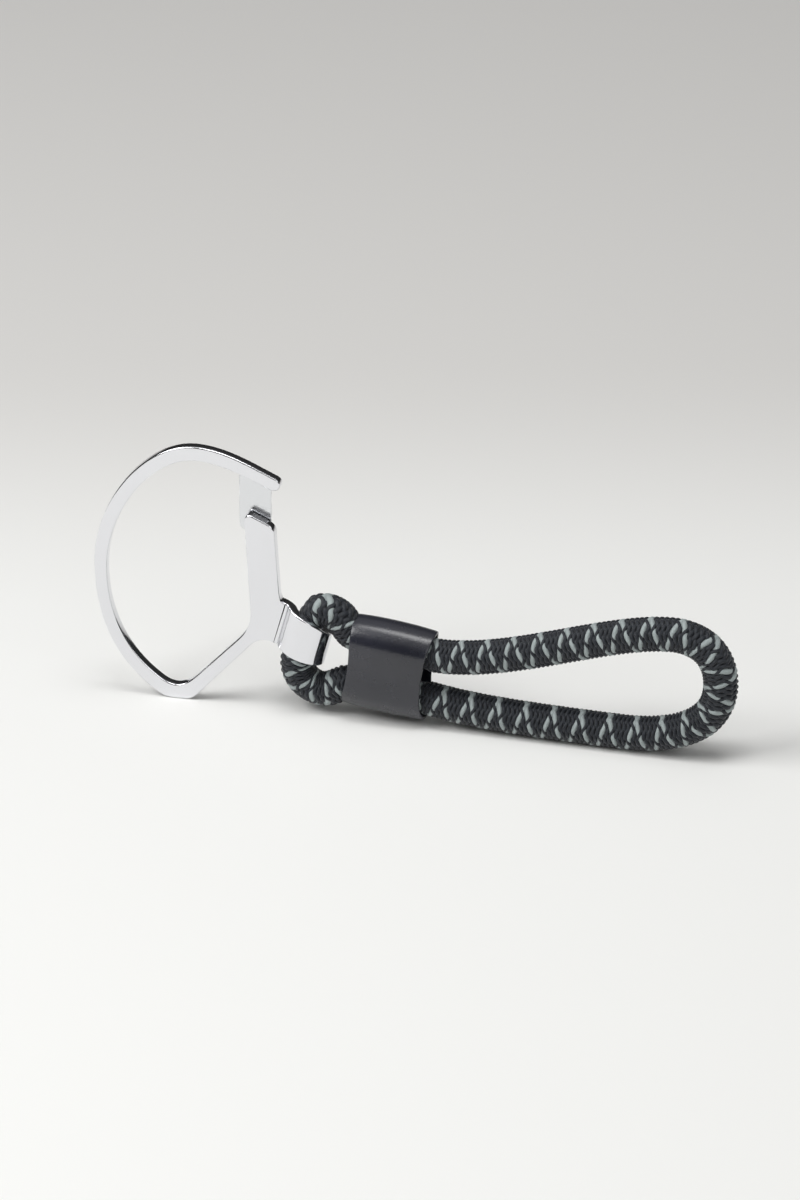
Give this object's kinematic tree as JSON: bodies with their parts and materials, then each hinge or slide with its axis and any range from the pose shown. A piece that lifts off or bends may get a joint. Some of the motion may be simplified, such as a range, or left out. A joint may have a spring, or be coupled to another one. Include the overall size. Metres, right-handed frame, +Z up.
{
  "type": "key organiser",
  "caption": "Key organiser: a flat D-shaped steel ring with a sprung leaf gate and a curled eye, in which hangs a braided cord loop bound by a leather sleeve.",
  "frame": {"origin": "middle of the whole object's footprint, on the surface that it stands on", "axes": "+Z up with the ring standing on its foot, X along the flat of the ring towards the cord loop, +Y to the back, where the leaf gate and the leather's seam are"},
  "size_m": [0.117, 0.0108, 0.0498],
  "materials": {
    "polished_steel": "polished stainless steel with rounded edges",
    "spring_steel": "satin spring steel strip",
    "rivet_steel": "pressed rivet heads",
    "braid": "braided polyester, black with pale grey-green tracers",
    "core_yarn": "twisted white yarn",
    "ferrule_steel": "plain crimped sheet",
    "leather": "smooth black leather, slightly glossy",
    "thread": "waxed thread"
  },
  "bodies": {
    "ring": {"ring_frame": "polished_steel", "gate_leaf_root": "spring_steel", "leaf_rivet_upper": "rivet_steel", "leaf_rivet_lower": "rivet_steel"},
    "gate": {"gate_leaf_tip": "spring_steel"},
    "loop": {"cord_sheath": "braid", "core_yarn_0": "core_yarn", "core_yarn_1": "core_yarn", "core_yarn_2": "core_yarn", "core_yarn_3": "core_yarn", "core_yarn_4": "core_yarn", "core_yarn_5": "core_yarn", "core_yarn_6": "core_yarn", "crimp_ferrule": "ferrule_steel", "leather_sleeve": "leather", "seam_thread": "thread"}
  },
  "joints": [
    {"name": "gate_flex", "type": "hinge", "parent": "ring", "child": "gate", "pos_m": [-0.02942, 0.0007, 0.0322], "axis": [-1, 0, 0], "range_deg": [0, 20], "stiffness_Nm_per_rad": 0.1},
    {"name": "loop_swing", "type": "hinge", "parent": "ring", "child": "loop", "pos_m": [-0.02032, 0.0005, 0.015], "axis": [0.2639, 0, 0.9646], "range_deg": [-30, 80], "deforming": ["cord_sheath"]}
  ]
}
